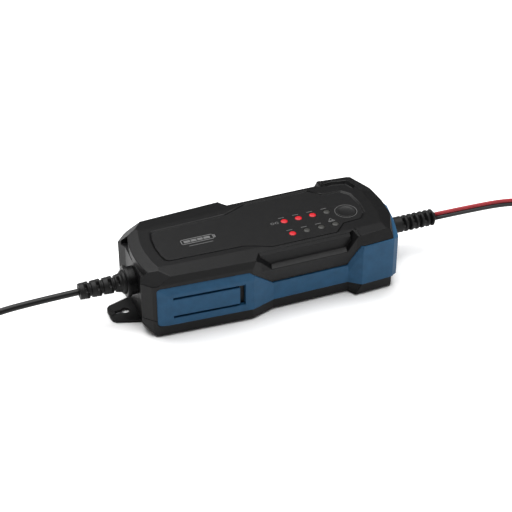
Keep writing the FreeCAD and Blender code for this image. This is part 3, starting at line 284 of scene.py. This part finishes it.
BLACK = moulded_plastic("black_case_plastic", (0.0035, 0.0035, 0.0037), 0.40, specular=0.16)
BLUE = moulded_plastic("blue_band_plastic", (0.013, 0.062, 0.128), 0.46, specular=0.16)
FILM = moulded_plastic("panel_film", (0.004, 0.004, 0.0042), 0.40, 4200.0, 0.000012, 0.20)
CAP = moulded_plastic("button_plastic", (0.006, 0.006, 0.0062), 0.40, 3600.0, 0.00002, 0.20)
RUBBER = soft_rubber("black_soft_rubber", (0.006, 0.006, 0.006))
CORD = wire_insulation("mains_sheath", (0.005, 0.005, 0.005))
RED_WIRE = wire_insulation("red_insulation", (0.26, 0.020, 0.026))
BLACK_WIRE = wire_insulation("black_insulation", (0.020, 0.020, 0.021))
BROWN_WIRE = wire_insulation("brown_insulation", (0.18, 0.07, 0.03))
LENS_LIT = lens("lamp_lens_lit", (0.26, 0.006, 0.010), 0.30, (1.0, 0.012, 0.03))
LENS_OFF = lens("lamp_lens_off", (0.026, 0.026, 0.024))
INK = printed_ink("pale_print", (0.085, 0.085, 0.085))
BOARD = circuit_board("solder_resist")
FERRITE = moulded_plastic("ferrite", (0.035, 0.035, 0.04), 0.6, 1500.0, 0.00006)
TAPE = moulded_plastic("winding_tape", (0.60, 0.42, 0.06), 0.3, 900.0, 0.00004)
COPPER = metal("enamelled_copper", (0.62, 0.25, 0.10), 0.3, (1.0, 1.0, 0.2))
SLEEVE = moulded_plastic("capacitor_sleeve", (0.03, 0.04, 0.08), 0.25, 800.0, 0.00002)
ALUMINIUM = metal("extruded_aluminium", (0.72, 0.73, 0.75), 0.34, (1.0, 1.0, 0.1))
EPOXY = moulded_plastic("moulded_epoxy", (0.02, 0.02, 0.02), 0.5, 2000.0, 0.00003)
BRASS = metal("spring_brass", (0.65, 0.52, 0.28), 0.28)
NICKEL = metal("nickel_plate", (0.70, 0.68, 0.63), 0.22)
STEEL = metal("zinc_plate", (0.58, 0.58, 0.60), 0.33)
YELLOW = moulded_plastic("film_capacitor_case", (0.62, 0.44, 0.05), 0.35, 1200.0, 0.00002)
RELAY = moulded_plastic("relay_case", (0.03, 0.10, 0.32), 0.4, 1500.0, 0.00002)
GREEN = moulded_plastic("terminal_case", (0.03, 0.22, 0.08), 0.45, 1500.0, 0.00002)
GLASS = clear_glass("fuse_glass")

CARRIED_OVER = {
    "main_board": BOARD, "indicator_board": BOARD, "transformer_core": FERRITE,
    "transformer_winding": TAPE, "input_choke": COPPER, "bulk_capacitor": SLEEVE,
    "output_capacitors": SLEEVE, "heatsink": ALUMINIUM, "power_devices": EPOXY,
    "fuse_link": GLASS, "fuse_clips": BRASS, "tact_switch": EPOXY, "button_return_ring": RUBBER,
    "board_link": EPOXY, "film_capacitor": YELLOW, "control_chip": EPOXY, "output_relay": RELAY,
    "mains_terminal": GREEN, "lead_terminal": GREEN, "mains_cores": BROWN_WIRE,
    "lead_cores": RED_WIRE, "case_screws": STEEL, "board_screws": STEEL, "indicator_screws": STEEL,
    "lead_connector_contacts": BRASS,
}


# ---------------------------------------------------------------- mesh helpers

# corners of a box are numbered along its length, then its width, then its height
BOX_FACES = ((0, 1, 3, 2), (4, 6, 7, 5), (0, 4, 5, 1), (2, 3, 7, 6), (1, 5, 7, 3), (0, 2, 6, 4))


def link(name, mesh, *materials):
    made = bpy.data.objects.new(name, mesh)
    bpy.context.scene.collection.objects.link(made)
    for material in materials:
        mesh.materials.append(material)
    return made


def from_faces(name, points, faces, *materials):
    """Smooth-shaded piece from points in millimetres."""
    mesh = bpy.data.meshes.new(name)
    mesh.from_pydata([tuple(c * MM for c in p) for p in points], [], faces)
    mesh.validate()
    work = bmesh.new()
    work.from_mesh(mesh)
    bmesh.ops.recalc_face_normals(work, faces=work.faces)
    work.to_mesh(mesh)
    work.free()
    mesh.shade_smooth()
    return link(name, mesh, *materials)


def flat_regions(work):
    """Number of the flat region that each face belongs to, and the area of each region."""
    number_of = {}
    areas = []
    for first in work.faces:
        if first in number_of:
            continue
        number_of[first] = len(areas)
        area = 0.0
        waiting = [first]
        while waiting:
            face = waiting.pop()
            area += face.calc_area()
            for edge in face.edges:
                for other in edge.link_faces:
                    if other not in number_of and face.normal.angle(other.normal, 0.0) < FLAT_ANGLE:
                        number_of[other] = number_of[first]
                        waiting.append(other)
        areas.append(area)
    return number_of, areas


def merge_flat_faces(work, number_of):
    """Joins each flat region's triangles into a few simple faces, so that rounding can't fold them over."""
    for attempt in range(MERGE_ROUNDS):
        for edge in list(work.edges):
            if not edge.is_valid or len(edge.link_faces) != 2:
                continue
            one, other = edge.link_faces
            number = number_of[one]
            if one is other or number_of[other] != number:
                continue
            shared = set(one.edges) & set(other.edges)
            common = set(one.verts) & set(other.verts)
            if len(common) == len(shared) + 1:
                joined = bmesh.utils.face_join([one, other])
                if joined:
                    number_of[joined] = number


def clear_length(edge, creases):
    """Shortest crease that leaves one of the edge's ends at an angle: the room there for its rounding."""
    shortest = 1.0
    for end in edge.verts:
        ahead = (end.co - edge.other_vert(end).co).normalized()
        for other in end.link_edges:
            if other is edge or other not in creases:
                continue
            away = (other.other_vert(end).co - end.co).normalized()
            if ahead.dot(away) < STRAIGHT_ON:
                shortest = min(shortest, other.calc_length())
    return shortest


def mark_edges(mesh, width):
    """Weights the edges that get rounded: all sharp ones, and shallow creases between broad facets."""
    work = bmesh.new()
    work.from_mesh(mesh)
    bmesh.ops.remove_doubles(work, verts=work.verts, dist=SLIVER)
    bmesh.ops.dissolve_degenerate(work, dist=SLIVER, edges=work.edges)
    number_of, areas = flat_regions(work)
    merge_flat_faces(work, number_of)
    weight = work.edges.layers.float.new("bevel_weight_edge")
    creases = set()
    rounded = []
    for edge in work.edges:
        if len(edge.link_faces) != 2:
            continue
        one, other = edge.link_faces
        bend = one.normal.angle(other.normal, 0.0)
        broad = min(areas[number_of[one]], areas[number_of[other]]) > BROAD_AREA
        if bend > FLAT_ANGLE:
            creases.add(edge)
        if bend > SHARP_ANGLE or (bend > CREASE_ANGLE and broad):
            rounded.append(edge)
            edge.smooth = False
        elif bend > FLAT_ANGLE and broad:
            edge.smooth = False
    for edge in rounded:
        edge[weight] = min(1.0, ROOM_SHARE * clear_length(edge, creases) / width)
    work.to_mesh(mesh)
    work.free()


def rounded_copy(node, name, width, material, slot, body="charger", segments=2):
    """The CAD node's own faces with small rounded edges, standing for that node."""
    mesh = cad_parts[node].data.copy()
    mesh.name = name
    mesh.materials.clear()
    mark_edges(mesh, width * MM)
    for face in mesh.polygons:
        face.use_smooth = True
    made = link(name, mesh, material)
    edge = made.modifiers.new("edges", "BEVEL")
    edge.width = width * MM
    edge.segments = segments
    edge.limit_method = "WEIGHT"
    edge.harden_normals = True
    edge.use_clamp_overlap = False
    return stand_for(made, slot, body, node)


def stand_for(obj, slot, body, *nodes):
    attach(obj, body)
    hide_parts(*nodes)
    return obj


def turned(name, stations, radius_at, level, bore, *materials, steps=72):
    """Tube along X whose outer radius depends on the station and the angle; closed down to its bore."""
    points = []
    faces = []

    def ring(x, radius_of):
        for i in range(steps):
            angle = 2 * math.pi * i / steps
            radius = radius_of(angle)
            points.append((x, radius * math.cos(angle), level + radius * math.sin(angle)))

    ring(stations[0], lambda angle: bore)
    for x in stations:
        ring(x, lambda angle, x=x: radius_at(x, angle))
    ring(stations[-1], lambda angle: bore)
    rows = len(stations) + 2
    for row in range(rows):
        after = (row + 1) % rows
        for i in range(steps):
            j = (i + 1) % steps
            faces.append((row * steps + i, row * steps + j, after * steps + j, after * steps + i))
    return from_faces(name, points, faces, *materials)


def spaced_stations(start, end, step):
    count = max(2, math.ceil(abs(end - start) / step))
    return [start + (end - start) * i / count for i in range(count + 1)]


def along_profile(profile, x):
    """Radius on a profile of (x, radius) points in rising x."""
    if x <= profile[0][0]:
        return profile[0][1]
    for (x0, r0), (x1, r1) in zip(profile, profile[1:]):
        if x <= x1:
            share = (x - x0) / max(x1 - x0, 1e-9)
            return r0 + (r1 - r0) * share
    return profile[-1][1]


def smooth_step(value, low, high):
    share = min(1.0, max(0.0, (value - low) / (high - low)))
    return share * share * (3 - 2 * share)


def bar(points, width, height, level, closed=False):
    """Points and faces of a thin raised ribbon along a plan line, as one closed box per stretch."""
    line = points + points[:1] if closed else points
    found = []
    faces = []
    for (x0, y0), (x1, y1) in zip(line, line[1:]):
        length = math.hypot(x1 - x0, y1 - y0)
        dx = (x1 - x0) / length
        dy = (y1 - y0) / length
        half = width / 2
        base = len(found)
        for x, y, back in ((x0, y0, -half), (x1, y1, half)):
            for side in (-half, half):
                for z in (level, level + height):
                    found.append((x + dx * back - dy * side, y + dy * back + dx * side, z))
        faces += [tuple(base + i for i in face) for face in BOX_FACES]
    return found, faces


def merged(parts):
    points = []
    faces = []
    for more_points, more_faces in parts:
        faces += [tuple(len(points) + i for i in face) for face in more_faces]
        points += more_points
    return points, faces


def annulus(x, y, inner, outer, level, height, steps=72):
    points = []
    faces = []
    for i in range(steps):
        angle = 2 * math.pi * i / steps
        for radius, z in ((inner, level), (outer, level), (outer, level + height), (inner, level + height)):
            points.append((x + radius * math.cos(angle), y + radius * math.sin(angle), z))
    for i in range(steps):
        j = (i + 1) % steps
        for k in range(4):
            m = (k + 1) % 4
            faces.append((4 * i + k, 4 * i + m, 4 * j + m, 4 * j + k))
    return points, faces


# ---------------------------------------------------------------- case

def case_shells():
    rounded_copy("top_cover", "upper_shell", 0.45, BLACK, "case_black")
    rounded_copy("bottom_case", "lower_tray", 0.40, BLACK, "case_black")
    rounded_copy("side_band", "blue_band", 0.45, BLUE, "band_blue")
    rounded_copy("panel_overlay", "panel_sheet", 0.12, FILM, "panel_film")
    rounded_copy("mode_button", "mode_cap", 0.15, CAP, "button_cap", "button")


def lamp_places():
    return [(LED_START + i * LED_PITCH, y) for y in LED_ROWS for i in range(LEDS_IN_ROW)]


def lamps():
    """Indicator lamps, lit and unlit."""
    rounded_copy("lamps_lit", "lamps_shining", 0.1, LENS_LIT, "lamp_lit")
    rounded_copy("lamps_unlit", "lamps_dark", 0.1, LENS_OFF, "lamp_unlit")


def panel_print():
    """Pale ink: a plain bar by each lamp, the button's ring, two small rings, a triangle and a cell."""
    level = PANEL_TOP + INK_GAP
    thick = INK_HEIGHT
    parts = []
    for x, y in lamp_places():
        parts.append(bar([(x - 2.6, y + 4.3), (x + 1.2, y + 4.3)], 0.5, thick, level))
    parts.append(annulus(BUTTON_PLACE[0], BUTTON_PLACE[1], 7.65, 8.0, level, thick))
    for x in (15.6, 18.8):
        parts.append(annulus(x, -2.2, 0.9, 1.3, level, thick, 24))
    triangle = [(53.2, -14.0), (58.0, -14.0), (55.6, -10.2)]
    parts.append(bar(triangle, 0.4, thick, level, True))
    cell = [(-51.0, -3.6), (-28.0, -3.6), (-28.0, 1.6), (-51.0, 1.6)]
    parts.append(bar(cell, 0.7, thick, level, True))
    parts.append(bar([(-26.9, -2.2), (-26.9, 0.2)], 1.0, thick, level))
    for x in (-48.0, -43.4, -38.8, -34.2):
        parts.append(bar([(x, -1.0), (x + 2.6, -1.0)], 2.6, thick, level))
    parts.append(bar([(-47.0, -6.6), (-30.0, -6.6)], 0.5, thick, level))
    print_piece = from_faces("panel_print", *merged(parts), INK)
    print_piece.data.shade_flat()
    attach(print_piece, "charger")


# ---------------------------------------------------------------- gland and boots

def gland():
    rounded_copy("gland_body", "gland_barrel", 0.3, BLACK, "case_black")
    rounded_copy("gland_cap", "gland_nut", 0.3, BLACK, "case_black")


def slot_depth(x, angle, slots, depth):
    """How deep the boot is notched there; a slot is its place, width, middle angle and half reach."""
    deepest = 0.0
    for middle, width, turn, reach in slots:
        across = 1 - smooth_step(abs(x - middle), width / 2 - SLOT_SIDE, width / 2 + SLOT_SIDE)
        if across <= 0:
            continue
        for facing in (turn, turn + math.pi):
            away = abs((angle - facing + math.pi) % (2 * math.pi) - math.pi)
            around = 1 - smooth_step(away, reach - SLOT_END, reach + SLOT_END)
            deepest = max(deepest, depth * across * around)
    return deepest


def mains_boot():
    """Three groups of ribs parted by necks, then the bell; each group has a high and a low slot a side."""
    bell = MAINS_BOOT_BELL
    neck = MAINS_BOOT_NECK
    pitch = (bell - MAINS_BOOT_END) / MAINS_BOOT_GROUPS
    profile = []
    slots = []
    for i in range(MAINS_BOOT_GROUPS):
        left = MAINS_BOOT_END + i * pitch
        outer = MAINS_BOOT_RADIUS + 0.05 * i
        right = left + pitch
        profile += [(left, outer - 0.3), (left + 3.0, outer), (left + 3.4, outer - 0.35), (left + 3.9, outer)]
        profile += [(right - 1.9, outer + 0.1), (right - 1.5, neck), (right - 0.3, neck)]
        slots.append((left + 4.5, *MAINS_HIGH_SLOT))
        slots.append((left + 5.6, *MAINS_LOW_SLOT))
    slots.append((bell + 1.9, *MAINS_BELL_SLOT))
    profile += [(bell + 0.01, 5.9), (bell + 4.0, 6.8), (bell + 5.0, 8.2), (MAINS_BOOT_FACE, 8.6)]
    stations = spaced_stations(MAINS_BOOT_END, MAINS_BOOT_FACE, BOOT_STATION) + [*MAINS_SPIGOT]

    def radius(x, angle):
        if x > MAINS_BOOT_FACE:
            return MAINS_SPIGOT_RADIUS
        return along_profile(profile, x) - slot_depth(x, angle, slots, MAINS_SLOT_DEPTH)

    made = turned("mains_strain_relief", stations, radius, MAINS_LEVEL, MAINS_DIAMETER / 2, RUBBER)
    return stand_for(made, "soft_black", "charger", "mains_boot")


def lead_boot():
    """Base flare and collar, six slots between rounded rings (short high, long low), then a small nose."""
    first, last, count = LEAD_SLOTS
    pitch = (last - first) / (count - 1)
    ring = LEAD_BOOT_RADIUS
    dip = LEAD_BOOT_DIP
    profile = [(LEAD_BOOT_FACE, 6.8), (LEAD_BOOT_FACE + 3, 6.5), (LEAD_BOOT_FACE + 6, 6.0),
               (first - pitch / 2, 6.0)]
    slots = []
    for i in range(count):
        middle = first + i * pitch
        profile += [(middle - 1.5, ring), (middle - 0.6, dip), (middle + 0.6, dip), (middle + 1.5, ring)]
        kind = LEAD_LOW_SLOT if i % 2 else LEAD_HIGH_SLOT
        slots.append((middle, *kind))
    nose = LEAD_BOOT_END - LEAD_BOOT_NOSE
    profile += [(nose - 0.5, ring), (nose, dip), (nose + 0.2, 3.7), (LEAD_BOOT_END, 3.3)]
    stations = [*LEAD_SPIGOT] + spaced_stations(LEAD_BOOT_FACE, LEAD_BOOT_END, BOOT_STATION)

    def radius(x, angle):
        if x < LEAD_BOOT_FACE:
            return LEAD_SPIGOT_RADIUS
        return along_profile(profile, x) - slot_depth(x, angle, slots, LEAD_SLOT_DEPTH)

    made = turned("lead_strain_relief", stations, radius, LEAD_LEVEL, LEAD_BOOT_BORE, RUBBER)
    return stand_for(made, "soft_black", "charger", "lead_boot")


# ---------------------------------------------------------------- leads

def coil_points(centre, turns, start_angle, direction):
    """Points of the turns, each on its own radius and level, drifting to the next over its last quarter."""
    total = len(turns) - 1 + COIL_LAST_TURN
    count = int(total * POINTS_PER_TURN)
    found = []
    for i in range(1, count + 1):
        done = i / POINTS_PER_TURN
        index = min(int(done), len(turns) - 1)
        share = smooth_step(done - index, 0.70, 1.0)
        here = turns[index]
        after = turns[min(index + 1, len(turns) - 1)]
        radius = here[0] + (after[0] - here[0]) * share
        level = here[1] + (after[1] - here[1]) * share
        angle = math.radians(start_angle) + direction * 2 * math.pi * done
        found.append((centre[0] + radius * math.cos(angle), centre[1] + radius * math.sin(angle), level))
    return found


def nurbs_line(name, points):
    data = bpy.data.curves.new(name, "CURVE")
    data.dimensions = "3D"
    spline = data.splines.new("NURBS")
    spline.points.add(len(points) - 1)
    for point, place in zip(spline.points, points):
        point.co = (*[c * MM for c in place], 1.0)
    spline.order_u = 3
    spline.use_endpoint_u = True
    spline.resolution_u = 6
    return data


def mains_cord_points():
    tail = [(-272.0, 30.0, 7.8), (-262.0, 27.2, 7.2), (-255.0, 26.2, 6.85), (-249.0, 26.0, 6.85)]
    return MAINS_ROUTE + coil_points(MAINS_COIL, MAINS_TURNS, -60.0, -1) + tail


def lead_cord_points():
    tail = [(292.0, 28.4, 5.0), (283.0, 26.9, 4.6), (278.0, 26.1, 4.5), (272.5, 26.0, 4.5)]
    return LEAD_ROUTE + coil_points(LEAD_COIL, LEAD_TURNS, -120.0, 1) + tail


def mains_cord(boot, plug):
    data = nurbs_line("mains_lead", mains_cord_points())
    data.bevel_depth = MAINS_DIAMETER / 2 * MM
    data.bevel_resolution = 5
    data.use_fill_caps = True
    data.materials.append(CORD)
    made = bpy.data.objects.new("mains_lead", data)
    bpy.context.scene.collection.objects.link(made)
    stand_for(made, "soft_black", "charger", "mains_cord", "mains_coil")
    tie = coil_tie("mains_tie", "mains_coil_tie")


def line_points(data):
    """Points along a curve's own line, in millimetres."""
    bare = bpy.data.objects.new("bare_line", data)
    mesh = bpy.data.meshes.new_from_object(bare)
    found = [Vector(v.co) / MM for v in mesh.vertices]
    bpy.data.meshes.remove(mesh)
    bpy.data.objects.remove(bare)
    return found


def lead_tilt(distance):
    """Angle of the pair's plane: leaning back at the boot, flat on the coil."""
    return LEAD_TILT * (1 - smooth_step(distance, *LEAD_TILT_REACH))


def wire_sections(line, side):
    """Middle of one wire and the two directions across it, at each point of the pair's line."""
    distance = 0.0
    found = []
    for i, place in enumerate(line):
        ahead = (line[min(i + 1, len(line) - 1)] - line[max(i - 1, 0)]).normalized()
        if i:
            distance += (place - line[i - 1]).length
        flat = Vector((0, 0, 1)).cross(ahead).normalized()
        upright = ahead.cross(flat).normalized()
        tilt = lead_tilt(distance)
        across = flat * math.cos(tilt) + upright * math.sin(tilt)
        over = ahead.cross(across)
        found.append((place + across * (side * WIRE_DIAMETER / 2), across, over))
    return found


def wire_tube(line, side):
    """Points and faces of one wire of the pair, closed at both ends."""
    points = []
    for middle, across, over in wire_sections(line, side):
        for k in range(WIRE_SIDES):
            angle = 2 * math.pi * k / WIRE_SIDES
            outward = across * math.cos(angle) + over * math.sin(angle)
            points.append(middle + outward * WIRE_DIAMETER / 2)
    last = len(points) - WIRE_SIDES
    faces = []
    for here in range(0, last, WIRE_SIDES):
        for k in range(WIRE_SIDES):
            m = (k + 1) % WIRE_SIDES
            faces.append((here + k, here + m, here + WIRE_SIDES + m, here + WIRE_SIDES + k))
    faces.append(tuple(range(WIRE_SIDES)))
    faces.append(tuple(range(last, last + WIRE_SIDES)))
    return points, faces


def lead_cord(boot, connector):
    """Two wires side by side along one line, red behind and black in front."""
    data = nurbs_line("lead_line", lead_cord_points())
    line = line_points(data)
    bpy.data.curves.remove(data)
    red = wire_tube(line, 1)
    black = wire_tube(line, -1)
    made = from_faces("twin_lead", *merged([red, black]), RED_WIRE, BLACK_WIRE)
    for number, face in enumerate(made.data.polygons):
        face.material_index = 0 if number < len(red[1]) else 1
    stand_for(made, "lead_insulation", "charger", "lead_cord", "lead_coil")
    tie = coil_tie("lead_tie", "lead_coil_tie")


def coil_tie(name, node):
    """Soft strap round a coil."""
    return rounded_copy(node, name, 0.35, RUBBER, "soft_black", segments=3)


def plug_pieces():
    body = rounded_copy("mains_plug_body", "plug_moulding", 0.7, RUBBER, "plug_black", segments=3)
    pins = rounded_copy("mains_plug_pins", "plug_pins", 0.2, NICKEL, "nickel")
    return [body, pins]


def connector_pieces():
    node = "lead_connector_housing"
    housing = rounded_copy(node, "connector_shell", 0.4, RUBBER, "plug_black", segments=3)
    return [housing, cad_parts["lead_connector_contacts"]]


# ---------------------------------------------------------------- carried-over pieces, floor, light, camera

def carried_over():
    for node, material in CARRIED_OVER.items():
        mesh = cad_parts[node].data
        mesh.materials.clear()
        mesh.materials.append(material)


def floor():
    mesh = bpy.data.meshes.new("studio_floor")
    corners = [(x * FLOOR_REACH, y * FLOOR_REACH, 0) for x, y in ((-1, -1), (1, -1), (1, 1), (-1, 1))]
    mesh.from_pydata(corners, [], [(0, 1, 2, 3)])
    link("studio_floor", mesh, floor_material())


def area_light(name, place, target, size, power):
    data = bpy.data.lights.new(name, "AREA")
    data.shape = "RECTANGLE"
    data.size = size[0]
    data.size_y = size[1]
    data.energy = power
    made = bpy.data.objects.new(name, data)
    bpy.context.scene.collection.objects.link(made)
    made.location = place
    made.rotation_mode = "QUATERNION"
    made.rotation_quaternion = (Vector(target) - Vector(place)).to_track_quat("-Z", "Y")


def lights():
    world = bpy.data.worlds.new("studio")
    world.use_nodes = True
    back = world.node_tree.nodes["Background"]
    back.inputs["Color"].default_value = (1.0, 1.0, 1.0, 1.0)
    back.inputs["Strength"].default_value = WORLD_STRENGTH
    bpy.context.scene.world = world
    for name, (place, target, size, power) in AREA_LIGHTS.items():
        area_light(name, place, target, size, power)


def camera():
    data = bpy.data.cameras.new("camera")
    data.lens = CAMERA_LENS
    data.sensor_width = SENSOR_WIDTH
    made = bpy.data.objects.new("camera", data)
    bpy.context.scene.collection.objects.link(made)
    made.location = CAMERA_PLACE
    made.rotation_mode = "QUATERNION"
    made.rotation_quaternion = (Vector(CAMERA_TARGET) - Vector(CAMERA_PLACE)).to_track_quat("-Z", "Y")
    bpy.context.scene.camera = made
    bpy.context.scene.view_settings.view_transform = "Standard"


camera()
carried_over()
case_shells()
lamps()
panel_print()
gland()
mains_cord(mains_boot(), plug_pieces())
lead_cord(lead_boot(), connector_pieces())
floor()
lights()
